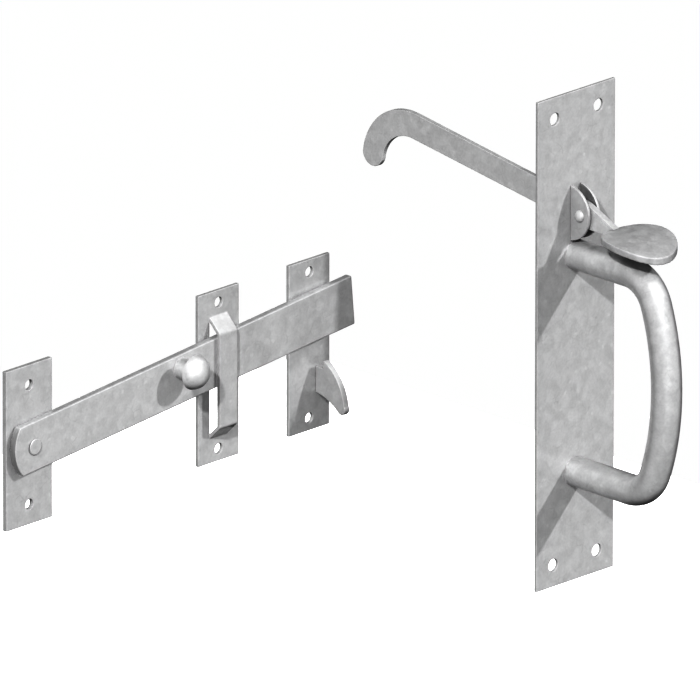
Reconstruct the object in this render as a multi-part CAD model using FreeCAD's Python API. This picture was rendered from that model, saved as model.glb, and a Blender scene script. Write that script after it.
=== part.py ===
import FreeCAD, Part
import math
import os

from FreeCAD import Placement, Rotation, Vector

# Suffolk latch set for a gate or shed door, in galvanised steel.
#
# Two sets lie on one door face, the plane Y = 0, and stand out of it towards -Y, with +Z up:
#   the handle set: a tall plate with a round-bar pull handle and a thumb lever that rocks on a pin
#   between two lugs and reaches back through the plate, where its hooked tail lifts the bar;
#   the bar set: a flat latch bar on a riveted pivot plate, a keeper that guides it, and a catch
#   with a ramped hook that it drops into.
# The origin is the centre of the handle plate's back face. "Out" below means out of the door face.
# The rest pose has the latch bar raised to the top of its keeper.

# Handle plate
handle_plate_w = 42.5
handle_plate_h = 200.0
handle_plate_t = 1.2
handle_hole_r = 2.5
handle_hole_side = 9.25          # hole centre to the plate's long edge
handle_hole_end = 8.9            # hole centre to the plate's short edge

# Pull handle, bent from round bar
rod_r = 6.0
grip_out = 49.0                  # plate front to the bar's centre where the grip bows furthest
grip_span = 88.7                 # between the centres of the two arms
grip_mid_z = -11.1               # height of the middle of that span
grip_bow_r = 104.0               # large radius of the bowed grip
top_bend_r = 15.1
bottom_bend_r = 14.4

# Thumb lever, cut from flat bar, and the lugs and pin that carry it
lever_t = 3.0
lever_h = 10.5                   # depth of the flat bar on edge
tail_t = 2.0                     # thickness of the tail, forged down from the lever's
tail_taper = 14.0                # length over which it thins, from the back of the plate
lever_side_gap = 0.4             # between the lever and each lug or slot side
pin_out = 5.0                    # plate front to the pin's axis
pin_r = 2.0
pin_running_gap = 0.05           # radial, in the lever's bore
pin_head_r = 2.4
pin_head_h = 1.5
tail_rise_deg = 8.3              # slope of the tail behind the plate at rest
tail_len = 92.9                  # pin to the start of the hook
hook_r = 19.8                    # centre line of the hooked tail
hook_sweep_deg = 92.0
hook_tip_round = 4.2             # height of the rounded end of the tail
nose_shoulder = 1.95             # from the pin out to where the top edge starts down
nose_slope_deg = 25.2
nose_shoulder_r = 10.0
lever_down_deg = 10.0            # swing from rest, tail falling
lever_up_deg = 10.5              # swing from rest, tail rising
slot_gap = 0.4                   # above and below the swinging lever

ear_h = 22.4
ear_out = 9.9
ear_t = 1.4
ear_to_rod_gap = 0.3             # lug foot to the top of the handle's upper arm

# Thumb pad, a round disc bent over a large radius, its crown near the lever
pad_r = 14.75
pad_t = 2.6
pad_bend_r = 44.5
pad_back_out = 19.15             # plate front to the back edge of the disc
pad_crown = 9.05                 # back edge of the disc to its crown

# Pivot plate
pivot_x = -297.0
pivot_z = 30.7
pivot_w = 24.5
pivot_h = 64.2
pivot_t = 2.0
pivot_hole_end = 8.05
bar_set_hole_r = 2.05            # screw holes of the pivot plate, the keeper and the catch

# Latch bar, its rivet and its knob
bar_w = 20.0
bar_t = 3.0
bar_past_catch = 21.0            # catch plate's centre line to the bar's square end
bar_tail = 10.6                  # rivet to the crest of the rounded end
bar_end_r = 15.8
bar_side_play = 0.15             # along the rivet, on each side of the bar
rivet_r = 2.5
rivet_running_gap = 0.05
rivet_head_r = 3.7
rivet_rim_h = 0.5
rivet_crown_h = 0.3
knob_from_rivet = 79.1
knob_above_line = 4.6            # from the bar's centre line towards its top edge
knob_tenon_r = 2.0               # riveted through the bar
knob_neck_r = 4.1
knob_neck_h = 4.9
knob_head_r = 6.85
knob_rim_h = 7.3                 # bar face to the widest part of the head
knob_dome_h = 5.6

# Keeper, pressed from one piece of sheet with a bridge lanced out of its middle
keeper_from_pivot = 102.0
keeper_above_pivot = 2.1
keeper_w = 22.0
keeper_t = 1.5
keeper_hole_end = 4.95
strap_w = 9.6
strap_leg_deg = 45.0             # lean of the legs from the plate
strap_bend_r = 0.5               # inside of the bends at the legs' front ends
strap_front_gap = 0.3            # latch bar to the inside of the bridge
bar_travel = 17.6                # free height in the bridge beyond the bar's own width
bar_stop_gap = 0.7               # left above the raised bar
strap_to_end = 9.95              # foot of the bridge to the end of the plate

# Catch
catch_from_pivot = 151.0
catch_above_pivot = 2.1
catch_w = 22.0
catch_h = 69.3
catch_t = 1.5
catch_hole_end = 5.05
hook_side = 4.6                  # middle of the catch hook to the right of the plate's centre line
catch_hook_t = 2.6
bar_closed_deg = 1.15            # slope of the bar when it lies in the catch
notch_seat_gap = 0.3             # under the closed bar
notch_front_gap = 0.35           # in front of the closed bar
crest_h = 2.9                    # crest of the hook above the notch's floor
crest_w = 0.8
hook_root_h = 10.6               # along the plate, below the notch's floor
hook_out = 15.5                  # plate front to the hook's furthest point
hook_shoulder_h = 13.0           # that point, below the notch's floor
hook_tip_out = 12.6              # inner end of the rounded tip
hook_tip_h = 16.2                # and its depth below the notch's floor
hook_back_bulge = 2.25
hook_tip_bulge = 1.8
hook_belly_bulge = 1.1


def at(x, out, z):
    """Point at a distance out of the door face."""
    return Vector(x, -out, z)


def box(x_mid, z_mid, width, height, out_from, out_to):
    """Block centred on (x_mid, z_mid) between two distances out of the door."""
    corner = Vector(x_mid - width / 2, -out_to, z_mid - height / 2)
    return Part.makeBox(width, out_to - out_from, height, corner)


def rod_along_y(x, z, radius, out_from, out_to):
    """Cylinder square to the door face."""
    return Part.makeCylinder(radius, out_to - out_from, at(x, out_from, z), Vector(0, -1, 0))


def rod_along_x(out, z, radius, x_from, x_to):
    """Cylinder along the hinge line of the lever."""
    return Part.makeCylinder(radius, x_to - x_from, at(x_from, out, z), Vector(1, 0, 0))


def line(p, q):
    """Straight edge."""
    return Part.LineSegment(p, q).toShape()


def arc(p, through, q):
    """Circular edge through three points."""
    return Part.Arc(p, through, q).toShape()


def bulged(p, q, bulge, side):
    """Circular edge from p to q that bulges towards side by the given height."""
    middle = (p + q) * 0.5
    chord = q - p
    across = side - chord * (side.dot(chord) / chord.dot(chord))
    return arc(p, middle + across.normalize() * bulge, q)


def dome(p, radius, base, height):
    """Spherical cap edge from its rim to the axis; p places a (radius, along) point."""
    sphere = (radius ** 2 + height ** 2) / (2 * abs(height))
    half = math.asin(radius / sphere) / 2
    fall = math.copysign(sphere * (1 - math.cos(half)), height)
    top = base + height
    return arc(p(radius, base), p(sphere * math.sin(half), top - fall), p(0, top))


def crowned(p, radius, base, height):
    """Edges of a low crown from its rim to the axis: two cones and a small flat."""
    steps = [(1.0, 0.0), (0.8, 0.58), (0.42, 1.0), (0.0, 1.0)]
    points = [p(radius * share, base + height * rise) for share, rise in steps]
    return [line(a, b) for a, b in zip(points, points[1:])]


def rounded(corners):
    """Closed outline from (point, radius) pairs; a radius of 0 leaves the corner sharp."""
    runs = []
    for i, (corner, radius) in enumerate(corners):
        if radius == 0:
            runs.append((corner, corner, corner))
            continue
        back = (corners[i - 1][0] - corner).normalize()
        on = (corners[(i + 1) % len(corners)][0] - corner).normalize()
        half = back.getAngle(on) / 2
        middle = (back + on).normalize()
        start = corner + back * (radius / math.tan(half))
        end = corner + on * (radius / math.tan(half))
        runs.append((start, corner + middle * (radius / math.sin(half) - radius), end))
    edges = []
    for i, (start, through, end) in enumerate(runs):
        if start != end:
            edges.append(arc(start, through, end))
        edges.append(line(end, runs[(i + 1) % len(runs)][0]))
    return edges


def slab(edges, thickness):
    """Flat piece with an outline across the door, thickness along X."""
    face = Part.Face(Part.Wire(edges))
    return face.extrude(Vector(thickness, 0, 0))


def drilled(solid, hole_r, centres, out_to):
    """Screw holes square to the door face."""
    for x, z in centres:
        solid = solid.cut(rod_along_y(x, z, hole_r, -1, out_to + 1))
    return solid


def turned(outline, x, z):
    """Solid of revolution about a line square to the door, from (radius, out) edges."""
    face = Part.Face(Part.Wire(outline))
    return face.revolve(at(x, 0, z), Vector(0, -1, 0), 360)


# The lever's hinge line and the heights of its lugs
pin_depth = handle_plate_t + pin_out
rod_top_z = grip_mid_z + grip_span / 2 + rod_r
ear_z = rod_top_z + ear_to_rod_gap + ear_h / 2
pin_z = ear_z
ear_inner_x = lever_t / 2 + lever_side_gap
pad_back = handle_plate_t + pad_back_out
# The disc's round edge crosses the sides of the lever this far in from its back
pad_heel = pad_r - math.sqrt(pad_r ** 2 - (lever_t / 2) ** 2)

# Planes of the latch bar, and its length from the rivet to the square end
bar_back = pivot_t + bar_side_play
bar_front = bar_back + bar_t
bar_reach = catch_from_pivot + bar_past_catch

# Keeper bridge: the inside of each leg gives the bar its room at the bar's front face
keeper_x = pivot_x + keeper_from_pivot
keeper_z = pivot_z + keeper_above_pivot
leg_lean = math.tan(math.radians(strap_leg_deg))
leg_cos = math.cos(math.radians(strap_leg_deg))
strap_in = bar_front + strap_front_gap
strap_out = strap_in + keeper_t
opening_half = (bar_w + bar_travel) / 2
knee_in_z = opening_half - (strap_in - bar_front) * leg_lean
knee_out_z = knee_in_z + keeper_t * math.tan(math.radians(strap_leg_deg / 2))
foot_out_z = knee_out_z + (strap_out - keeper_t) * leg_lean
keeper_h = 2 * (foot_out_z + strap_to_end)

# Raised bar: its top edge just under the right side of the bridge's upper leg
stop_x = keeper_from_pivot + strap_w / 2
stop_z = keeper_above_pivot + opening_half - bar_stop_gap
bar_raise_deg = math.degrees(
    math.acos(bar_w / 2 / math.hypot(stop_x, stop_z)) - math.atan2(stop_x, stop_z)
)

# Catch notch: its floor lies just under the closed bar
catch_x = pivot_x + catch_from_pivot
catch_z = pivot_z + catch_above_pivot
closed = math.radians(bar_closed_deg)
hook_left = catch_from_pivot + hook_side - catch_hook_t / 2
notch_z = pivot_z + hook_left * math.tan(closed) - bar_w / 2 / math.cos(closed) - notch_seat_gap


def lever_slot():
    """Lowest and highest points of the slot that the swinging lever needs."""
    behind = pin_depth
    high = math.radians(tail_rise_deg + lever_up_deg)
    low = math.radians(tail_rise_deg - lever_down_deg)
    top = behind * math.tan(high) + lever_h / 2 / math.cos(high)
    bottom = min(behind * math.tan(low), 0) - lever_h / 2 / math.cos(low)
    return pin_z + bottom - slot_gap, pin_z + top + slot_gap


def make_handle_plate():
    plate = box(0, 0, handle_plate_w, handle_plate_h, 0, handle_plate_t)
    x = handle_plate_w / 2 - handle_hole_side
    z = handle_plate_h / 2 - handle_hole_end
    corners = [(sx * x, sz * z) for sx in (-1, 1) for sz in (-1, 1)]
    plate = drilled(plate, handle_hole_r, corners, handle_plate_t)
    low, high = lever_slot()
    slot = box(0, (low + high) / 2, 2 * ear_inner_x, high - low, -1, handle_plate_t + 1)
    return plate.cut(slot)


def make_pull_handle():
    """Round bar along two arms, two bends and a bowed grip, all tangent."""
    front = handle_plate_t
    top_z = grip_mid_z + grip_span / 2
    bottom_z = grip_mid_z - grip_span / 2
    bow_out = front + grip_out - grip_bow_r
    # The bow's centre height keeps the grip's furthest point level with the middle of the span
    bow_z = grip_mid_z
    top_c_z = top_z - top_bend_r
    bottom_c_z = bottom_z + bottom_bend_r
    top_c_out = bow_out + math.sqrt((grip_bow_r - top_bend_r) ** 2 - (top_c_z - bow_z) ** 2)
    bottom_c_out = bow_out + math.sqrt(
        (grip_bow_r - bottom_bend_r) ** 2 - (bottom_c_z - bow_z) ** 2
    )
    top_turn = math.atan2(top_c_z - bow_z, top_c_out - bow_out)
    bottom_turn = math.atan2(bottom_c_z - bow_z, bottom_c_out - bow_out)

    def on_bend(c_out, c_z, radius, angle):
        return at(0, c_out + radius * math.cos(angle), c_z + radius * math.sin(angle))

    quarter = math.pi / 2
    start = at(0, front, top_z)
    top_in = at(0, top_c_out, top_z)
    top_mid = on_bend(top_c_out, top_c_z, top_bend_r, (quarter + top_turn) / 2)
    top_out = on_bend(top_c_out, top_c_z, top_bend_r, top_turn)
    grip_mid = on_bend(bow_out, bow_z, grip_bow_r, (top_turn + bottom_turn) / 2)
    low_out = on_bend(bottom_c_out, bottom_c_z, bottom_bend_r, bottom_turn)
    low_mid = on_bend(bottom_c_out, bottom_c_z, bottom_bend_r, (bottom_turn - quarter) / 2)
    low_in = at(0, bottom_c_out, bottom_z)
    end = at(0, front, bottom_z)
    path = Part.Wire([
        line(start, top_in),
        arc(top_in, top_mid, top_out),
        arc(top_out, grip_mid, low_out),
        arc(low_out, low_mid, low_in),
        line(low_in, end),
    ])
    section = Part.Wire(Part.makeCircle(rod_r, start, Vector(0, -1, 0)))
    return path.makePipeShell([section], True, True)


def make_ear(side):
    """Half-round lug beside the slot, drilled for the pin."""
    front = handle_plate_t
    x = side * ear_inner_x if side > 0 else side * ear_inner_x - ear_t
    low = at(x, front, ear_z - ear_h / 2)
    high = at(x, front, ear_z + ear_h / 2)
    tip = at(x, front + ear_out, ear_z)
    lug = slab([arc(low, tip, high), line(high, low)], ear_t)
    return lug.cut(rod_along_x(pin_depth, pin_z, pin_r, x - 1, x + ear_t + 1))


def make_lever_pin():
    """Rivet across both lugs, with a low crowned head at each end."""
    half = ear_inner_x + ear_t

    def p(radius, x):
        return at(x, pin_depth + radius, pin_z)

    right_crown = crowned(p, pin_head_r, half, pin_head_h)
    left_crown = crowned(p, pin_head_r, -half, -pin_head_h)
    face = Part.Face(Part.Wire([
        line(p(0, -half - pin_head_h), p(0, half + pin_head_h)),
        *reversed(right_crown),
        line(p(pin_head_r, half), p(pin_r, half)),
        line(p(pin_r, half), p(pin_r, -half)),
        line(p(pin_r, -half), p(pin_head_r, -half)),
        *left_crown,
    ]))
    return face.revolve(at(0, pin_depth, pin_z), Vector(1, 0, 0), 360)


def pad_bend_z():
    """Height of the pad's bending line: its underside meets the lever's bottom edge flush."""
    inner = pad_bend_r - pad_t
    return pin_z - lever_h / 2 - math.sqrt(inner ** 2 - (pad_crown - pad_heel) ** 2)


def make_thumb_pad():
    """Disc bent about a line along X: a curved strip trimmed to the disc's outline."""
    disc_out = pad_back + pad_r
    crown_out = pad_back + pad_crown
    bend_z = pad_bend_z()
    crown_z = bend_z + pad_bend_r
    wide = 2 * pad_r + 2
    outer = rod_along_x(crown_out, bend_z, pad_bend_r, -wide / 2, wide / 2)
    inner = rod_along_x(crown_out, bend_z, pad_bend_r - pad_t, -wide, wide)
    depth = pad_bend_r
    trim = Part.makeCylinder(pad_r, depth, at(0, disc_out, crown_z + 1 - depth), Vector(0, 0, 1))
    return trim.common(outer).cut(inner)


def lever_plan():
    """Lever as seen from above: full thickness to the plate's back, a taper, the thin tail."""
    low = pin_z - tail_len
    wide = lever_t / 2
    thin = tail_t / 2
    far = tail_len + 2 * hook_r
    near = -pad_back - pad_r
    points = [(wide, near), (wide, 0), (thin, tail_taper), (thin, far)]
    points += [(-x, y) for x, y in reversed(points)]
    corners = [Vector(x, y, low) for x, y in points]
    edges = [line(a, b) for a, b in zip(corners, corners[1:] + corners[:1])]
    return Part.Face(Part.Wire(edges)).extrude(Vector(0, 0, 2 * tail_len))


def make_thumb_lever(pad):
    """Flat bar on edge: nose under the pad, hub on the pin, long tail with a hooked end."""
    half = lever_h / 2
    rise = math.radians(tail_rise_deg)
    x = -lever_t / 2
    pin = at(x, pin_depth, pin_z)
    along = Vector(0, math.cos(rise), math.sin(rise))
    up = Vector(0, -math.sin(rise), math.cos(rise))
    bend_c = pin + along * tail_len - up * hook_r
    sweep = math.radians(hook_sweep_deg)

    def spoke(angle, radius):
        return bend_c + (up * math.cos(angle) + along * math.sin(angle)) * radius

    end_way = along * math.cos(sweep) - up * math.sin(sweep)
    tip = spoke(sweep, hook_r) + end_way * hook_tip_round

    # Top edge: straight on from the tail, over a soft shoulder, then down onto the pad
    slope = math.radians(nose_slope_deg)
    down = Vector(0, -math.cos(slope), -math.sin(slope))
    shoulder = pin + up * half - along * (nose_shoulder - half * math.sin(rise))
    reach = nose_shoulder_r * math.tan((slope - rise) / 2)
    over = shoulder + along * reach
    under = shoulder + down * reach
    soften = nose_shoulder_r * (1 - math.cos((slope - rise) / 2))
    nose_len = (pad_back + pad_t - (-shoulder.y)) / math.cos(slope)
    nose_top = shoulder + down * nose_len
    nose_bottom = at(x, pad_back + pad_heel, pin_z - half)
    # Bottom edge: level under the nose, rising with the tail from just in front of the pin
    heel = at(x, pin_depth + half * math.tan(rise / 2), pin_z - half)

    outline = [
        bulged(under, over, soften, up),
        line(over, spoke(0, hook_r + half)),
        arc(spoke(0, hook_r + half), spoke(sweep / 2, hook_r + half), spoke(sweep, hook_r + half)),
        arc(spoke(sweep, hook_r + half), tip, spoke(sweep, hook_r - half)),
        arc(spoke(sweep, hook_r - half), spoke(sweep / 2, hook_r - half), spoke(0, hook_r - half)),
        line(spoke(0, hook_r - half), heel),
        line(heel, nose_bottom),
        line(nose_bottom, nose_top),
        line(nose_top, under),
    ]
    lever = slab(outline, lever_t)
    bore = rod_along_x(pin_depth, pin_z, pin_r + pin_running_gap, x - 1, x + lever_t + 1)
    return lever.common(lever_plan()).cut(bore).cut(pad)


def make_pivot_plate():
    plate = box(pivot_x, pivot_z, pivot_w, pivot_h, 0, pivot_t)
    reach = pivot_h / 2 - pivot_hole_end
    holes = [(pivot_x, pivot_z + s * reach) for s in (-1, 1)]
    plate = drilled(plate, bar_set_hole_r, holes, pivot_t)
    return drilled(plate, rivet_r, [(pivot_x, pivot_z)], pivot_t)


def make_bar_rivet():
    """Rivet flush with the plate's back, with a wide, slightly crowned head over the bar."""
    under = bar_front + bar_side_play
    rim = under + rivet_rim_h

    def p(radius, out):
        return at(pivot_x + radius, out, pivot_z)

    outline = [
        line(p(0, 0), p(rivet_r, 0)),
        line(p(rivet_r, 0), p(rivet_r, under)),
        line(p(rivet_r, under), p(rivet_head_r, under)),
        line(p(rivet_head_r, under), p(rivet_head_r, rim)),
        *crowned(p, rivet_head_r, rim, rivet_crown_h),
        line(p(0, rim + rivet_crown_h), p(0, 0)),
    ]
    return turned(outline, pivot_x, pivot_z)


def bar_pose():
    """Placement that takes the level bar, with its rivet at the origin, to the raised pose."""
    swing = Rotation(Vector(0, -1, 0), bar_raise_deg)
    return Placement(Vector(pivot_x, 0, pivot_z), swing)


def make_latch_bar():
    """Flat bar with one large arc for its pivot end and a square free end."""
    half = bar_w / 2
    dip = bar_end_r - math.sqrt(bar_end_r ** 2 - half ** 2)
    corner = bar_tail - dip
    top = at(-corner, bar_back, half)
    bottom = at(-corner, bar_back, -half)
    end_top = at(bar_reach, bar_back, half)
    end_bottom = at(bar_reach, bar_back, -half)
    face = Part.Face(Part.Wire([
        arc(bottom, at(-bar_tail, bar_back, 0), top),
        line(top, end_top),
        line(end_top, end_bottom),
        line(end_bottom, bottom),
    ]))
    bar = face.extrude(Vector(0, -bar_t, 0))
    bar = bar.cut(rod_along_y(0, 0, rivet_r + rivet_running_gap, 0, bar_front + 1))
    bar = bar.cut(
        rod_along_y(knob_from_rivet, knob_above_line, knob_tenon_r, 0, bar_front + 1)
    )
    bar.Placement = bar_pose().multiply(bar.Placement)
    return bar


def make_bar_knob():
    """Mushroom knob: tenon through the bar, neck, conical underside and a full dome."""
    x = knob_from_rivet
    z = knob_above_line
    rim = bar_front + knob_rim_h

    def p(radius, out):
        return at(x + radius, out, z)

    neck_end = bar_front + knob_neck_h
    outline = [
        line(p(0, bar_back), p(knob_tenon_r, bar_back)),
        line(p(knob_tenon_r, bar_back), p(knob_tenon_r, bar_front)),
        line(p(knob_tenon_r, bar_front), p(knob_neck_r, bar_front)),
        line(p(knob_neck_r, bar_front), p(knob_neck_r, neck_end)),
        line(p(knob_neck_r, neck_end), p(knob_head_r, rim)),
        dome(p, knob_head_r, rim, knob_dome_h),
        line(p(0, rim + knob_dome_h), p(0, bar_back)),
    ]
    knob = turned(outline, x, z)
    knob.Placement = bar_pose().multiply(knob.Placement)
    return knob


def make_keeper():
    """Plate with a bridge pressed out over a window of the bridge's own width."""
    plate = box(keeper_x, keeper_z, keeper_w, keeper_h, 0, keeper_t)
    foot_back_out = foot_out_z + keeper_t * leg_lean
    foot_back_in = foot_back_out - keeper_t / leg_cos
    window = box(keeper_x, keeper_z, strap_w, 2 * foot_back_in, -1, keeper_t + 1)
    x = keeper_x - strap_w / 2

    def p(out, z):
        return at(x, out, keeper_z + z)

    outside = strap_bend_r + keeper_t
    bridge = rounded([
        (p(0, foot_back_out), 0),
        (p(strap_out, knee_out_z), outside),
        (p(strap_out, -knee_out_z), outside),
        (p(0, -foot_back_out), 0),
        (p(0, -foot_back_in), 0),
        (p(strap_in, -knee_in_z), strap_bend_r),
        (p(strap_in, knee_in_z), strap_bend_r),
        (p(0, foot_back_in), 0),
    ])
    keeper = plate.cut(window).fuse(slab(bridge, strap_w)).removeSplitter()
    reach = keeper_h / 2 - keeper_hole_end
    holes = [(keeper_x, keeper_z + s * reach) for s in (-1, 1)]
    return drilled(keeper, bar_set_hole_r, holes, keeper_t)


def make_catch_plate():
    plate = box(catch_x, catch_z, catch_w, catch_h, 0, catch_t)
    reach = catch_h / 2 - catch_hole_end
    holes = [(catch_x, catch_z + s * reach) for s in (-1, 1)]
    return drilled(plate, bar_set_hole_r, holes, catch_t)


def make_catch_hook():
    """Upright fin with a notch beside the plate, a ramped back and a down-turned tip."""
    x = catch_x + hook_side - catch_hook_t / 2
    notch_out = bar_front + notch_front_gap

    def p(out, z):
        return at(x, out, notch_z + z)

    front = catch_t
    root_top = p(front, 0)
    floor_end = p(notch_out, 0)
    crest_in = p(notch_out, crest_h)
    crest_out = p(notch_out + crest_w, crest_h)
    shoulder = p(front + hook_out, -hook_shoulder_h)
    tip_in = p(front + hook_tip_out, -hook_tip_h)
    root_low = p(front, -hook_root_h)
    outline = [
        line(root_top, floor_end),
        line(floor_end, crest_in),
        line(crest_in, crest_out),
        bulged(crest_out, shoulder, hook_back_bulge, Vector(0, -1, 1)),
        bulged(shoulder, tip_in, hook_tip_bulge, Vector(0, -1, -1)),
        bulged(tip_in, root_low, hook_belly_bulge, Vector(0, 0, 1)),
        line(root_low, root_top),
    ]
    return slab(outline, catch_hook_t)


def main():
    os.makedirs("parts", exist_ok=True)
    pad = make_thumb_pad()
    nodes = {
        "handle_plate": make_handle_plate(),
        "pull_handle": make_pull_handle(),
        "left_ear": make_ear(-1),
        "right_ear": make_ear(1),
        "lever_pin": make_lever_pin(),
        "thumb_lever": make_thumb_lever(pad),
        "thumb_pad": pad,
        "pivot_plate": make_pivot_plate(),
        "bar_rivet": make_bar_rivet(),
        "latch_bar": make_latch_bar(),
        "bar_knob": make_bar_knob(),
        "keeper": make_keeper(),
        "catch_plate": make_catch_plate(),
        "catch_hook": make_catch_hook(),
    }
    for name, shape in nodes.items():
        shape.exportStep(os.path.join("parts", name + ".step"))
        solids = shape.Solids
        print(name, "solids", len(solids), "valid", shape.isValid(), round(shape.Volume, 2))
    print("bar raised by", round(bar_raise_deg, 3), "degrees")
    print("pin height", round(pin_z, 3), "notch floor", round(notch_z, 3))
    print("slot from", *[round(z, 3) for z in lever_slot()])


main()
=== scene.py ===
"""A galvanised suffolk latch, dressed over its CAD frame and set in a pale studio."""

import logging
import math
from dataclasses import dataclass
from enum import Enum
from typing import Optional, Union

import bpy
from mathutils import Matrix, Quaternion, Vector


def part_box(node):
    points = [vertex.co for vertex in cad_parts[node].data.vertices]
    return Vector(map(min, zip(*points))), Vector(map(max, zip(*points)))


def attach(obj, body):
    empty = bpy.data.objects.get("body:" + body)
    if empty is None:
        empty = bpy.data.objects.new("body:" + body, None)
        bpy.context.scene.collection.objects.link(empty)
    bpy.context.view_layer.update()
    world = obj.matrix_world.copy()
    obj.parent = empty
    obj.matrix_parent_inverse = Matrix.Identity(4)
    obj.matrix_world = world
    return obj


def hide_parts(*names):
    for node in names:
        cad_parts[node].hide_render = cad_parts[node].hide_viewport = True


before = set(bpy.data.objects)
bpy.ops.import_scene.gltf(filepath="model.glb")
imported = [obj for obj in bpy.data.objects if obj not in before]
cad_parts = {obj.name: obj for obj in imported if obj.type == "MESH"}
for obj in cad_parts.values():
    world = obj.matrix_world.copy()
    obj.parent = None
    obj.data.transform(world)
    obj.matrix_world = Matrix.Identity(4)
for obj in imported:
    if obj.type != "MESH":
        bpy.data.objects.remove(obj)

LOG = logging.getLogger("suffolk_latch")

MM = 0.001
WELD_GAP = 0.002 * MM
FLAT_UNDER = math.radians(0.05)
LATHE_WELD_GAP = 0.0005 * MM
LATHE_CREASE = math.radians(35.0)
DOME_SWEEP = math.radians(84.0)
MAP_RANGE = "ShaderNodeMapRange"


class Wire:
    """One value in a shader tree, so that sums on values add their Math nodes."""

    def __init__(self, graph: "Graph", socket: bpy.types.NodeSocket) -> None:
        """Keeps the tree and the output that carries the value."""
        self.graph = graph
        self.socket = socket

    def math(self, operation: str, first: "Feed", second: "Feed") -> "Wire":
        """Adds one Math node to this value's tree."""
        feeds = {0: first, 1: second}
        return self.graph.add("ShaderNodeMath", "Value", feeds, operation=operation)

    def __add__(self, other: "Feed") -> "Wire":
        """This value plus the other."""
        return self.math("ADD", self, other)

    def __radd__(self, other: float) -> "Wire":
        """The other plus this value."""
        return self.math("ADD", other, self)

    def __sub__(self, other: "Feed") -> "Wire":
        """This value less the other."""
        return self.math("SUBTRACT", self, other)

    def __rsub__(self, other: float) -> "Wire":
        """The other less this value."""
        return self.math("SUBTRACT", other, self)

    def __mul__(self, other: "Feed") -> "Wire":
        """This value times the other."""
        return self.math("MULTIPLY", self, other)

    def __rmul__(self, other: float) -> "Wire":
        """The other times this value."""
        return self.math("MULTIPLY", other, self)

    def step(self, low: float, high: float) -> "Wire":
        """Runs smoothly from 0 at low to 1 at high, which may be the smaller of the two."""
        feeds = {"Value": self, "From Min": low, "From Max": high}
        return self.graph.add(MAP_RANGE, "Result", feeds, interpolation_type="SMOOTHSTEP")

    def run(self, first: float, last: float, start: float = 0.0) -> "Wire":
        """Runs evenly from first, where this value is at start, to last, where it is 1."""
        feeds = {"Value": self, "From Min": start, "To Min": first, "To Max": last}
        return self.graph.add(MAP_RANGE, "Result", feeds)

    def channel(self, name: str) -> "Wire":
        """Takes the Red, Green or Blue out of this colour."""
        return self.graph.add("ShaderNodeSeparateColor", name, {"Color": self})

    def along(self, axis: str) -> "Wire":
        """Takes the X, Y or Z out of this vector."""
        return self.graph.add("ShaderNodeSeparateXYZ", axis, {"Vector": self})


Feed = Union[Wire, float, tuple, Vector]
Feeds = dict[Union[str, int], Feed]


class Graph:
    """The node tree of a material or a world, which every node is added to by one method."""

    def __init__(self, owner: Union[bpy.types.Material, bpy.types.World]) -> None:
        """Starts an empty tree.

        Args:
            owner: the material or the world that the tree is for.
        """
        owner.use_nodes = True
        self.owner = owner
        self.tree = owner.node_tree
        self.tree.nodes.clear()

    def add(self, kind: str, output: str, feeds: Feeds, **settings: object) -> Wire:
        """Adds one node, sets it, and feeds its sockets.

        Args:
            kind: the node's type.
            output: the name of the output that is wanted.
            feeds: a value or a wire for each socket, by name or number.
            settings: the node's own settings, set before its sockets.

        Returns:
            The wanted output.
        """
        node = self.tree.nodes.new(kind)
        for name, value in settings.items():
            setattr(node, name, value)
        for place, value in feeds.items():
            socket = node.inputs[place]
            if isinstance(value, Wire):
                self.tree.links.new(value.socket, socket)
            else:
                socket.default_value = value
        found = [o for o in node.outputs if o.name == output and o.enabled]
        return Wire(self, found[0] if found else node.outputs[0])

    def close(self, kind: str, shader: Wire) -> None:
        """Joins the shader to a new output node of the given type."""
        end = self.tree.nodes.new(kind)
        self.tree.links.new(shader.socket, end.inputs["Surface"])

    def surface(self, feeds: Feeds) -> bpy.types.Material:
        """Closes a material's tree with its surface, and returns the material."""
        self.close("ShaderNodeOutputMaterial", self.add("ShaderNodeBsdfPrincipled", "BSDF", feeds))
        return self.owner


def even_grey(level: float) -> tuple[float, float, float, float]:
    """A grey of one level, as a colour socket takes it."""
    return (level, level, level, 1.0)


@dataclass(frozen=True)
class Pattern:
    """What the zinc shows at each point of a surface, every value from 0 to 1."""

    tint: Wire
    gleam: Wire
    vein: Wire
    fleck: Wire
    pit: Wire
    cloud: Wire
    fine: Wire


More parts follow.
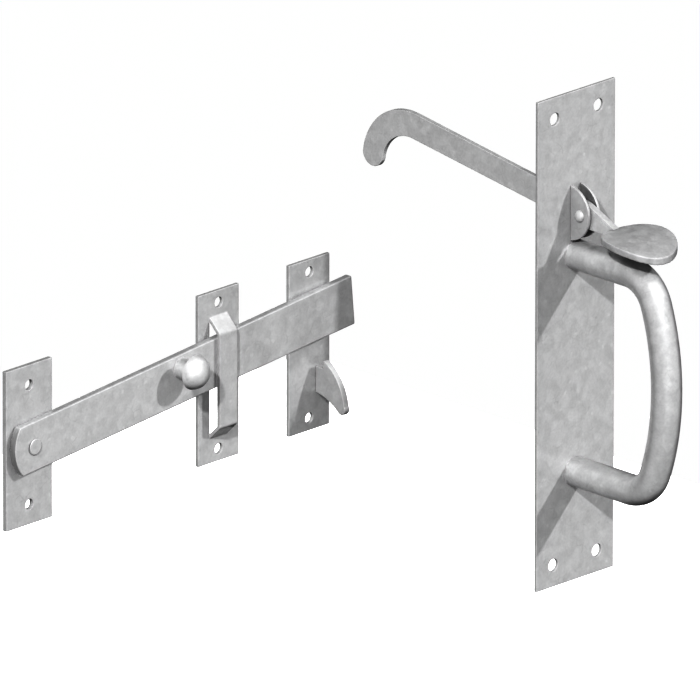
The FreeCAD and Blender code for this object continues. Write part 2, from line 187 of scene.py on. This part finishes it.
@dataclass(frozen=True)
class Spangle:
    """How the zinc's crystals lie, which is alike in every finish.

    Repeats are per crystal and waves are per metre. A pair says where a mark starts and where it
    is full, as a distance from its middle or as a share of the cells or the noise.
    """

    drift_repeats: float = 0.4
    drift_reach: float = 1.1
    melting: float = 0.55
    border_repeats: float = 0.8
    dot_repeats: float = 1.1
    cloud_waves: float = 240.0
    gap_waves: float = 150.0
    fine_waves: float = 1000.0
    vein_edge: tuple[float, float] = (0.085, 0.0)
    vein_gap: tuple[float, float] = (0.52, 0.66)
    fleck_edge: tuple[float, float] = (0.36, 0.12)
    fleck_share: tuple[float, float] = (0.74, 0.88)
    pit_edge: tuple[float, float] = (0.30, 0.10)
    pit_share: tuple[float, float] = (0.20, 0.10)

    def noise(self, place: Wire, waves: float, detail: float = 2.0, roughness: float = 0.5) -> Wire:
        """Spreads an even noise over the surface."""
        feeds = {"Vector": place, "Scale": waves, "Detail": detail, "Roughness": roughness}
        return place.graph.add("ShaderNodeTexNoise", "Fac", feeds)

    def cells(self, output: str, feature: str, bent: Wire, scale: float, **more: float) -> Wire:
        """Splits the surface into cells, which give their colour or a distance in them."""
        feeds = {"Vector": bent, "Scale": scale, **more}
        return bent.graph.add("ShaderNodeTexVoronoi", output, feeds, feature=feature)

    def lay(self, graph: Graph, crystal: float) -> Pattern:
        """Lays the pattern on Object coordinates.

        Args:
            graph: the material's tree.
            crystal: how wide a crystal is.

        Returns:
            The pattern.
        """
        place = graph.add("ShaderNodeTexCoord", "Object", {})
        waves = {"Vector": place, "Scale": self.drift_repeats / crystal, "Detail": 2.0}
        drift = graph.add("ShaderNodeTexNoise", "Color", waves)
        feeds = {0: drift, 1: (crystal * self.drift_reach,) * 3, 2: place}
        bent = graph.add("ShaderNodeVectorMath", "Vector", feeds, operation="MULTIPLY_ADD")
        crystals = self.cells("Color", "SMOOTH_F1", bent, 1.0 / crystal, Smoothness=self.melting)
        border = self.cells("Distance", "DISTANCE_TO_EDGE", bent, self.border_repeats / crystal)
        gap = self.noise(place, self.gap_waves)
        dot = self.cells("Distance", "F1", bent, self.dot_repeats / crystal)
        chosen = self.cells("Color", "F1", bent, self.dot_repeats / crystal).channel("Blue")
        return Pattern(
            tint=crystals.channel("Red"),
            gleam=crystals.channel("Green"),
            vein=border.step(*self.vein_edge) * gap.step(*self.vein_gap),
            fleck=dot.step(*self.fleck_edge) * chosen.step(*self.fleck_share),
            pit=dot.step(*self.pit_edge) * chosen.step(*self.pit_share),
            cloud=self.noise(place, self.cloud_waves, detail=4.0, roughness=0.6),
            fine=self.noise(place, self.fine_waves),
        )


@dataclass(frozen=True)
class Weights:
    """How strongly each part of the pattern counts in a value."""

    crystal: float
    fine: float
    fleck: float
    vein: float


SPANGLE = Spangle()
ROUGHENING = Weights(crystal=0.10, fine=0.08, fleck=0.06, vein=0.10)
RELIEF = Weights(crystal=0.35, fine=0.50, fleck=0.40, vein=0.50)
RELIEF_STRENGTH = 0.22
RELIEF_DEPTH = 0.12 * MM
MIDDLE = 0.5
CLOUD_SHARE = 2.0
FINE_SHARE = 1.6
PIT_SHARE = 0.7
BLUE_CAST = 0.002
COAT_IOR = 1.8
GLOSS_LOST = 0.8
NEARLY_LEVEL = (0.55, 0.95)
FACING_UP = (0.62, 0.98)
FACING_DOWN = (-0.45, -0.98)
FACING_LEFT = (-0.55, -0.95)


@dataclass(frozen=True)
class ZincFinish:
    """Zinc on steel: soft crystals of several greys, darker veins between them, small flecks.

    A crystal's width is in metres. Mottle, vein and fleck say how strongly each shows in the
    colour, and the painted-shade fields how much painted shade darkens the faces that look up,
    left or down, standing in for how the light falls on them.
    """

    name: str
    grey: float
    metallic: float = 0.30
    roughness: float = 0.50
    crystal: float = 3.4 * MM
    mottle: float = 0.10
    vein: float = 0.05
    fleck: float = 0.08
    coat: float = 1.0
    coat_roughness: float = 0.09
    # Painted shade: how much the colour darkens on faces that look up, left or down.
    painted_top_shade: float = 0.20
    painted_left_shade: float = 0.0
    painted_under_shade: float = 0.42

    def lightness(self, zinc: Pattern) -> Wire:
        """Adds up how light the pattern makes each point.

        Args:
            zinc: the pattern.

        Returns:
            A factor round 1.
        """
        shade = (zinc.tint - MIDDLE) * self.mottle
        shade = shade + (zinc.cloud - MIDDLE) * (self.mottle * CLOUD_SHARE)
        shade = shade + (zinc.fine - MIDDLE) * (self.mottle * FINE_SHARE) - zinc.vein * self.vein
        return 1.0 + (shade + zinc.fleck * self.fleck - zinc.pit * (self.fleck * PIT_SHARE))

    def with_painted_shade(self, shade: Wire, facing: Wire) -> Wire:
        """Paints shade into the colour: darkens the faces that look down, up or left.

        Args:
            shade: the lightness.
            facing: the surface's normal.

        Returns:
            The lightness with painted shade on those faces.
        """
        # Painted shade: each share darkens the colour of the faces turned down, up or left.
        for dull, axis, turned in (
            (self.painted_under_shade, "Z", FACING_DOWN),
            (self.painted_top_shade, "Z", FACING_UP),
            (self.painted_left_shade, "X", FACING_LEFT),
        ):
            if dull:
                shade = shade * (1.0 - dull * facing.along(axis).step(*turned))
        return shade

    def roughened(self, zinc: Pattern) -> Wire:
        """Adds up how rough each point is.

        Args:
            zinc: the pattern.

        Returns:
            The roughness.
        """
        share = ROUGHENING
        rough = (zinc.gleam - MIDDLE) * share.crystal + (zinc.fine - MIDDLE) * share.fine
        return self.roughness + (rough + zinc.vein * share.vein - zinc.fleck * share.fleck)

    def raised(self, zinc: Pattern) -> Wire:
        """Adds up how high each point stands, and turns that into a bumped normal.

        Args:
            zinc: the pattern.

        Returns:
            The normal.
        """
        share = RELIEF
        height = share.fine * zinc.fine + share.crystal * zinc.tint
        height = height + share.fleck * zinc.fleck - share.vein * zinc.vein
        feeds = {"Height": height, "Strength": RELIEF_STRENGTH, "Distance": RELIEF_DEPTH}
        return height.graph.add("ShaderNodeBump", "Normal", feeds)

    def material(self) -> bpy.types.Material:
        """Builds the finish.

        Returns:
            The material, patterned on Object coordinates.
        """
        graph = Graph(bpy.data.materials.new(self.name))
        zinc = SPANGLE.lay(graph, self.crystal)
        facing = graph.add("ShaderNodeNewGeometry", "Normal", {})
        tone = (self.grey, self.grey, self.grey + BLUE_CAST)
        feeds = {0: tone, "Scale": self.with_painted_shade(self.lightness(zinc), facing)}
        gloss = 1.0 - GLOSS_LOST * facing.along("Z").step(*NEARLY_LEVEL)
        return graph.surface(
            {
                "Base Color": graph.add("ShaderNodeVectorMath", "Vector", feeds, operation="SCALE"),
                "Metallic": self.metallic,
                "Roughness": self.roughened(zinc),
                "Normal": self.raised(zinc),
                "Coat Weight": self.coat * gloss,
                "Coat Roughness": self.coat_roughness,
                "Coat IOR": COAT_IOR,
            }
        )


class Stock(Enum):
    """The kinds of steel that the latch is made of, each with its zinc."""

    # Painted shade on left-facing faces: a little on the sheet, more on the flat bar's end, and
    # most on the inner ear, standing in for the shadow between the ears.
    SHEET = ZincFinish("zinc_sheet", grey=0.63, crystal=3.6 * MM, painted_left_shade=0.12)
    INNER_EAR = ZincFinish("zinc_inner_ear", grey=0.63, crystal=3.6 * MM, painted_left_shade=0.55)
    FLAT_BAR = ZincFinish("zinc_flat_bar", grey=0.65, painted_left_shade=0.42)
    LEVER_BAR = ZincFinish("zinc_lever_bar", grey=0.67, painted_top_shade=0.16)
    PRESSED = ZincFinish(
        "zinc_pressed",
        grey=0.56,
        mottle=0.14,
        vein=0.06,
        coat=0.6,
        coat_roughness=0.40,
        painted_top_shade=0.06,
    )
    ROUND_BAR = ZincFinish(
        "zinc_round_bar",
        grey=0.66,
        metallic=0.45,
        roughness=0.44,
        mottle=0.11,
        fleck=0.09,
        coat_roughness=0.42,
    )
    KNOB = ZincFinish(
        "zinc_knob",
        grey=0.72,
        metallic=0.45,
        roughness=0.44,
        mottle=0.11,
        fleck=0.09,
        coat=0.85,
        coat_roughness=0.42,
        painted_top_shade=0.06,
    )
    RIVET = ZincFinish(
        "zinc_rivet",
        grey=0.70,
        metallic=0.45,
        roughness=0.34,
        crystal=3.0 * MM,
        mottle=0.08,
        vein=0.04,
        coat_roughness=0.25,
        painted_top_shade=0.0,
    )


Rings = list[tuple[float, float]]


def dome_rings(
    radius: float, base: float, height: float, flat: float = 0.0, count: int = 9
) -> Rings:
    """Rings of a head that rounds over from its rim, quarter of an ellipse in section.

    Args:
        radius: the head's radius.
        base: how far along the axis the rim is.
        height: how high the head stands over its rim.
        flat: the share of the radius that stays flat on top.
        count: the number of rings.

    Returns:
        A radius and a distance along the axis for each ring, rim first.
    """
    rings = []
    for step in range(count):
        turned = DOME_SWEEP * step / (count - 1)
        share = flat + (1 - flat) * math.cos(turned)
        rise = height * math.sin(turned) / math.sin(DOME_SWEEP)
        rings.append((radius * share, base + rise))
    return rings


def turn(name: str, foot: Vector, axis: Vector, rings: Rings, sides: int = 64) -> bpy.types.Object:
    """Turns a piece as on a lathe: a disc is extruded along the axis and resized ring by ring.

    Args:
        name: the piece's name.
        foot: where the axis starts.
        axis: the way that it points, along X or Y.
        rings: a radius and a distance along the axis for each ring, first to last.
        sides: the number of sides of each ring.

    Returns:
        The piece, with its place in its mesh.
    """
    bpy.ops.object.select_all(action="DESELECT")
    radius, along = rings[0]
    turned = axis.to_track_quat("Z", "Y").to_euler()
    start = foot + axis * along
    bpy.ops.mesh.primitive_circle_add(
        vertices=sides, radius=radius, fill_type="NGON", location=start, rotation=turned
    )
    piece = bpy.context.active_object
    piece.name = name
    bpy.ops.object.transform_apply(location=True, rotation=True, scale=True)
    bpy.ops.object.mode_set(mode="EDIT")
    bpy.ops.mesh.select_all(action="SELECT")
    for wide, far in rings[1:]:
        bpy.ops.mesh.extrude_region_move(TRANSFORM_OT_translate={"value": axis * (far - along)})
        across = [1.0 if part else wide / radius for part in axis]
        bpy.ops.transform.resize(value=across, center_override=foot + axis * far)
        radius, along = wide, far
    bpy.ops.mesh.select_all(action="SELECT")
    bpy.ops.mesh.remove_doubles(threshold=LATHE_WELD_GAP)
    bpy.ops.mesh.normals_make_consistent(inside=False)
    bpy.ops.object.mode_set(mode="OBJECT")
    bpy.ops.object.shade_smooth_by_angle(angle=LATHE_CREASE)
    return piece


def modify(piece: bpy.types.Object, name: str, kind: str, **settings: object) -> None:
    """Adds a modifier to a piece.

    Args:
        piece: the object.
        name: the modifier's name.
        kind: its type.
        settings: its own settings.
    """
    modifier = piece.modifiers.new(name, kind)
    for setting, value in settings.items():
        setattr(modifier, setting, value)


class Zincer:
    """Makes each finish once and puts it on the pieces."""

    def __init__(self) -> None:
        """Starts with no finish made."""
        self.made: dict[Stock, bpy.types.Material] = {}

    def coat(self, piece: bpy.types.Object, stock: Stock) -> None:
        """Gives a piece its finish.

        Args:
            piece: the object to finish.
            stock: what it is made of.
        """
        if stock not in self.made:
            self.made[stock] = stock.value.material()
        piece.data.materials.clear()
        piece.data.materials.append(self.made[stock])


@dataclass
class SubAssembly:
    """Some CAD nodes of one sub-assembly, which share how their edges are broken."""

    zincer: Zincer
    edge_break: float = 0.30 * MM
    edge_segments: int = 2
    crease_deg: float = 32.0

    def soften(self, node: str, width: Optional[float] = None) -> None:
        """Breaks a CAD node's sharp edges with live modifiers, which leave its mesh alone.

        The overlap clamp is off, because with it one short edge keeps the whole node sharp, and
        loops don't slide, because sliding draws a line on the bar's back.

        Args:
            node: the CAD node.
            width: how wide the broken edge is, or None for the sub-assembly's own.
        """
        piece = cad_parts[node]
        modify(piece, "join", "WELD", merge_threshold=WELD_GAP)
        modify(piece, "flat", "DECIMATE", decimate_type="DISSOLVE", angle_limit=FLAT_UNDER)
        modify(
            piece,
            "edge",
            "BEVEL",
            width=self.edge_break if width is None else width,
            segments=self.edge_segments,
            limit_method="ANGLE",
            angle_limit=math.radians(self.crease_deg),
            use_clamp_overlap=False,
            loop_slide=False,
        )
        modify(piece, "even", "WEIGHTED_NORMAL", weight=100, keep_sharp=True)

    def dress(self, node: str, stock: Stock, width: Optional[float] = None) -> None:
        """Finishes one CAD node.

        Args:
            node: the CAD node.
            stock: what it is made of.
            width: how wide its broken edges are, None for the sub-assembly's own, or 0 for none.
        """
        self.zincer.coat(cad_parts[node], stock)
        if width != 0.0:
            self.soften(node, width)
        LOG.info("%s dressed as %s", node, stock.value.name)

    def finish_new(self, piece: bpy.types.Object, node: str, body: str, stock: Stock) -> None:
        """Finishes a new piece and puts it in the place of a CAD node.

        Args:
            piece: the new piece.
            node: the CAD node that it replaces.
            body: the body that it rides on.
            stock: what it is made of.
        """
        self.zincer.coat(piece, stock)
        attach(piece, body)
        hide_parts(node)
        LOG.info("%s set in place of %s", piece.name, node)


@dataclass
class HandleSet(SubAssembly):
    """The handle plate with its round pull, the two ears and the pin across them."""

    ear_edge: float = 0.35 * MM
    pin_r: float = 2.0 * MM
    head_h: float = 1.5 * MM

    def build(self) -> None:
        """Dresses the plate, the pull and the ears, and sets the pin in its ears."""
        self.dress("handle_plate", Stock.SHEET)
        self.dress("pull_handle", Stock.ROUND_BAR, 0.0)
        self.dress("left_ear", Stock.SHEET, self.ear_edge)
        self.dress("right_ear", Stock.INNER_EAR, self.ear_edge)
        self.set_pin()

    def set_pin(self) -> None:
        """Turns the lever's pin with its two domed heads, in place of its CAD node."""
        low, high = (Vector(corner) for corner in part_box("lever_pin"))
        head_r = (high.z - low.z) / 2
        shoulder = (high.x - low.x) / 2 - self.head_h
        dome = dome_rings(head_r, shoulder, self.head_h)
        far_dome = [(r, -along) for r, along in reversed(dome)]
        rings = far_dome + [(self.pin_r, -shoulder), (self.pin_r, shoulder)] + dome
        pin = turn("turned_lever_pin", (low + high) / 2, Vector((1, 0, 0)), rings)
        self.finish_new(pin, "lever_pin", "fixed", Stock.RIVET)


@dataclass
class LeverSet(SubAssembly):
    """The thumb lever and the pad on its front end."""

    edge_break: float = 0.20 * MM
    pad_voxel: float = 0.26 * MM
    pad_rubbing: int = 9
    pad_rub: float = 0.5

    def build(self) -> None:
        """Dresses the lever and presses its pad."""
        self.dress("thumb_lever", Stock.LEVER_BAR)
        self.press_pad()

    def press_pad(self) -> None:
        """Presses the bent round pad with its rubbed edges, in place of its CAD node."""
        bpy.ops.object.select_all(action="DESELECT")
        pad = bpy.data.objects.new("pressed_thumb_pad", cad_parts["thumb_pad"].data.copy())
        bpy.context.scene.collection.objects.link(pad)
        bpy.context.view_layer.objects.active = pad
        pad.select_set(True)
        bpy.ops.object.mode_set(mode="EDIT")
        bpy.ops.mesh.select_all(action="SELECT")
        bpy.ops.mesh.remove_doubles(threshold=WELD_GAP)
        bpy.ops.object.mode_set(mode="OBJECT")
        modify(pad, "press", "REMESH", mode="VOXEL", voxel_size=self.pad_voxel)
        modify(pad, "rub", "SMOOTH", factor=self.pad_rub, iterations=self.pad_rubbing)
        for name in ("press", "rub"):
            bpy.ops.object.modifier_apply(modifier=name)
        bpy.ops.object.shade_smooth()
        self.finish_new(pad, "thumb_pad", "lever", Stock.PRESSED)


@dataclass
class BarSet(SubAssembly):
    """The latch bar on its pivot plate, with its rivet and its knob."""

    edge_break: float = 0.50 * MM
    sheet_edge: float = 0.30 * MM
    rivet_r: float = 2.5 * MM
    head_share: float = 0.88
    head_h: float = 0.42 * MM
    head_sunk: float = 0.36 * MM
    head_flat: float = 0.80
    lip: float = 0.08 * MM

    def build(self) -> None:
        """Dresses the pivot plate, the bar, the rivet and the knob."""
        self.dress("pivot_plate", Stock.SHEET, self.sheet_edge)
        self.dress("latch_bar", Stock.FLAT_BAR)
        self.dress("bar_knob", Stock.KNOB, 0.0)
        self.set_rivet()

    def set_rivet(self) -> None:
        """Turns the bar's rivet with its low crowned head, in place of its CAD node."""
        low, high = (Vector(corner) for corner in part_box("bar_rivet"))
        head_r = (high.z - low.z) / 2 * self.head_share
        foot = Vector(((low.x + high.x) / 2, high.y, (low.z + high.z) / 2))
        under = high.y - low.y - self.head_sunk - self.head_h
        rings = [(self.rivet_r, 0.0), (self.rivet_r, under), (head_r - self.lip, under)]
        rings += dome_rings(head_r, under + self.lip, self.head_h - self.lip, self.head_flat)
        rivet = turn("turned_bar_rivet", foot, Vector((0, -1, 0)), rings)
        self.finish_new(rivet, "bar_rivet", "fixed", Stock.FLAT_BAR)


@dataclass
class KeeperAndCatch(SubAssembly):
    """The bridge that keeps the bar to the door, and the catch on the frame."""

    def build(self) -> None:
        """Dresses the keeper, the catch's plate and its hook."""
        for node in ("keeper", "catch_plate", "catch_hook"):
            self.dress(node, Stock.SHEET)


class Reach(Enum):
    """What a lamp's light shows up in: the crisp lit faces and shadows, or the soft sheen."""

    FACES = "faces"
    SHEEN = "sheen"


@dataclass(frozen=True)
class Sun:
    """A far lamp: where its light comes from, and how strong and how soft it is."""

    name: str
    towards: tuple[float, float, float]
    strength: float
    spread_deg: float
    reach: Reach

    def hang(self) -> bpy.types.Object:
        """Adds the lamp.

        Returns:
            The lamp's object.
        """
        data = bpy.data.lights.new(self.name, "SUN")
        data.energy = self.strength
        data.angle = math.radians(self.spread_deg)
        lamp = bpy.data.objects.new(self.name, data)
        bpy.context.scene.collection.objects.link(lamp)
        lamp.rotation_mode = "QUATERNION"
        lamp.rotation_quaternion = Vector(self.towards).to_track_quat("Z", "Y")
        lamp.visible_glossy = self.reach is Reach.SHEEN
        lamp.visible_diffuse = self.reach is Reach.FACES
        return lamp


KEY = Sun("key_lamp", (0.76, -1.0, 0.79), strength=2.25, spread_deg=2.0, reach=Reach.FACES)
RIG = (
    KEY,
    Sun("second_lamp", (-0.70, -0.39, 0.60), strength=3.45, spread_deg=2.0, reach=Reach.FACES),
    Sun("back_lamp", (0.60, 0.73, -0.336), strength=4.6, spread_deg=40.0, reach=Reach.FACES),
    Sun("front_sheen", (-0.13, -0.72, 0.69), strength=1.05, spread_deg=75.0, reach=Reach.SHEEN),
    Sun("side_sheen", (-0.8, -0.6, 0.1), strength=0.6, spread_deg=70.0, reach=Reach.SHEEN),
)


FLAG_SHAPES = (
    "handle_plate",
    "pull_handle",
    "thumb_pad",
    "thumb_lever",
    "left_ear",
    "right_ear",
)


class FlagUse(Enum):
    """What an unseen flag is hung for: only its shadow shows, or only its reflection."""

    SHADE = "shade"
    MIRROR = "mirror"


@dataclass(frozen=True)
class FlagSet:
    """Unseen flags, shaped as the handle set and hung where it would stand nearer the camera."""

    use: FlagUse
    shift: tuple[float, float, float]

    def hang(self, grey: bpy.types.Material) -> list[bpy.types.Object]:
        """Hangs a flag for each node of the handle set that shows from the front.

        Args:
            grey: the flags' material.

        Returns:
            The flags.
        """
        flags = []
        for node in FLAG_SHAPES:
            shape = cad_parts[node].data.copy()
            shape.transform(Matrix.Translation(Vector(self.shift)))
            shape.materials.clear()
            shape.materials.append(grey)
            flag = bpy.data.objects.new(f"{self.use.value}_flag_{node}", shape)
            bpy.context.scene.collection.objects.link(flag)
            flag.visible_camera = False
            flag.visible_diffuse = False
            flag.visible_transmission = False
            flag.visible_glossy = self.use is FlagUse.MIRROR
            flag.visible_shadow = self.use is FlagUse.SHADE
            flags.append(flag)
        return flags


SHADING = FlagSet(FlagUse.SHADE, (-0.0662, -0.0662, 0.0334))
MIRRORED = FlagSet(FlagUse.MIRROR, (-0.0713, -0.0713, 0.0360))


@dataclass
class Studio:
    """The pale floor, the soft light and the camera at the photograph's angle.

    Places are in metres and angles in degrees. The even light runs from below to above, and what
    the latch mirrors runs from the room's front to its darker backdrop.
    """

    floor_z: float = -0.6
    floor_half: float = 1.25
    floor_middle: tuple[float, float] = (-0.14, 0.0)
    floor_grey: float = 0.93
    floor_glow: float = 0.35
    flag_grey: float = 0.3
    matt: float = 0.9
    even_above: float = 0.51
    even_below: float = 0.21
    mirrored: float = 0.8
    mirrored_behind: float = 0.04
    backdrop: tuple[float, float, float] = (0.55, 0.8, -0.25)
    backdrop_edge: tuple[float, float] = (0.10, 0.55)
    azimuth: float = -45.25
    elevation: float = 19.54
    roll: float = 0.08
    lens: float = 1700.0
    sensor: float = 36.0
    away: float = 12.68
    clips: tuple[float, float] = (1.0, 40.0)
    target: tuple[float, float, float] = (-0.10248, 0.01970, 0.01451)

    def aim(self) -> None:
        """Sets the camera at the photograph's viewing angle, far off with a long lens."""
        data = bpy.data.cameras.new("photo_camera")
        data.lens = self.lens
        data.sensor_width = self.sensor
        data.clip_start, data.clip_end = self.clips
        camera = bpy.data.objects.new("photo_camera", data)
        bpy.context.scene.collection.objects.link(camera)
        a, e, r = (math.radians(x) for x in (self.azimuth, self.elevation, self.roll))
        back = Vector((math.sin(a) * math.cos(e), -math.cos(a) * math.cos(e), math.sin(e)))
        camera.location = Vector(self.target) + back * self.away
        camera.rotation_mode = "QUATERNION"
        level = (-back).to_track_quat("-Z", "Y")
        camera.rotation_quaternion = Quaternion(back, r) @ level
        bpy.context.scene.camera = camera
        bpy.context.scene.view_settings.view_transform = "Raw"
        bpy.context.scene.view_settings.look = "None"

    def lay_floor(self) -> bpy.types.Object:
        """Adds the floor well under the latch, so that its shadows fall clear of it.

        Returns:
            The floor.
        """
        bpy.ops.object.select_all(action="DESELECT")
        x, y = self.floor_middle
        bpy.ops.mesh.primitive_plane_add(size=2 * self.floor_half, location=(x, y, self.floor_z))
        floor = bpy.context.active_object
        floor.name = "studio_floor"
        pale = {
            "Base Color": even_grey(self.floor_grey),
            "Roughness": self.matt,
            "Emission Color": even_grey(1.0),
            "Emission Strength": self.floor_glow,
        }
        floor.data.materials.append(Graph(bpy.data.materials.new("pale_floor")).surface(pale))
        floor.visible_diffuse = False
        floor.visible_glossy = False
        return floor

    def light(self, floor: bpy.types.Object) -> None:
        """Hangs the flags and the lamps.

        Only the key lamp throws the shadows of the latch bar and of the flags, and no lamp
        throws the floor's.

        Args:
            floor: the floor.
        """
        dull = {"Base Color": even_grey(self.flag_grey), "Roughness": self.matt}
        grey = Graph(bpy.data.materials.new("flag_grey")).surface(dull)
        spared = [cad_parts["latch_bar"]] + SHADING.hang(grey)
        MIRRORED.hang(grey)
        solid = [o for o in bpy.context.scene.objects if o.type == "MESH" and o != floor]
        for lamp in RIG:
            blockers = bpy.data.collections.new(lamp.name + "_blockers")
            for piece in solid:
                if lamp is KEY or piece not in spared:
                    blockers.objects.link(piece)
            lamp.hang().light_linking.blocker_collection = blockers

    def glow(self, graph: Graph, strength: Feed) -> Wire:
        """Adds a white background of that strength to the world's tree."""
        feeds = {"Color": even_grey(1.0), "Strength": strength}
        return graph.add("ShaderNodeBackground", "Background", feeds)

    def paint_room(self) -> None:
        """Gives the room its even light, its reflections, darker behind, and its plain white."""
        world = bpy.data.worlds.new("pale_room")
        bpy.context.scene.world = world
        graph = Graph(world)
        towards = graph.add("ShaderNodeTexCoord", "Generated", {})
        feeds = {0: towards, 1: Vector(self.backdrop).normalized()}
        behind = graph.add("ShaderNodeVectorMath", "Value", feeds, operation="DOT_PRODUCT")
        mirrored = behind.step(*self.backdrop_edge).run(self.mirrored, self.mirrored_behind)
        even = towards.along("Z").run(self.even_below, self.even_above, start=-1.0)
        shown = self.glow(graph, even)
        for ray, strength in (("Is Glossy Ray", mirrored), ("Is Camera Ray", 1.0)):
            share = graph.add("ShaderNodeLightPath", ray, {})
            feeds = {"Fac": share, 1: shown, 2: self.glow(graph, strength)}
            shown = graph.add("ShaderNodeMixShader", "Shader", feeds)
        graph.close("ShaderNodeOutputWorld", shown)


def main() -> None:
    """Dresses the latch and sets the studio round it."""
    logging.basicConfig(level=logging.INFO, format="%(name)s: %(message)s")
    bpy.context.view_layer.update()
    zincer = Zincer()
    for assembly in (HandleSet, LeverSet, BarSet, KeeperAndCatch):
        assembly(zincer).build()
    studio = Studio()
    studio.aim()
    studio.light(studio.lay_floor())
    studio.paint_room()


if __name__ == "__main__":
    main()
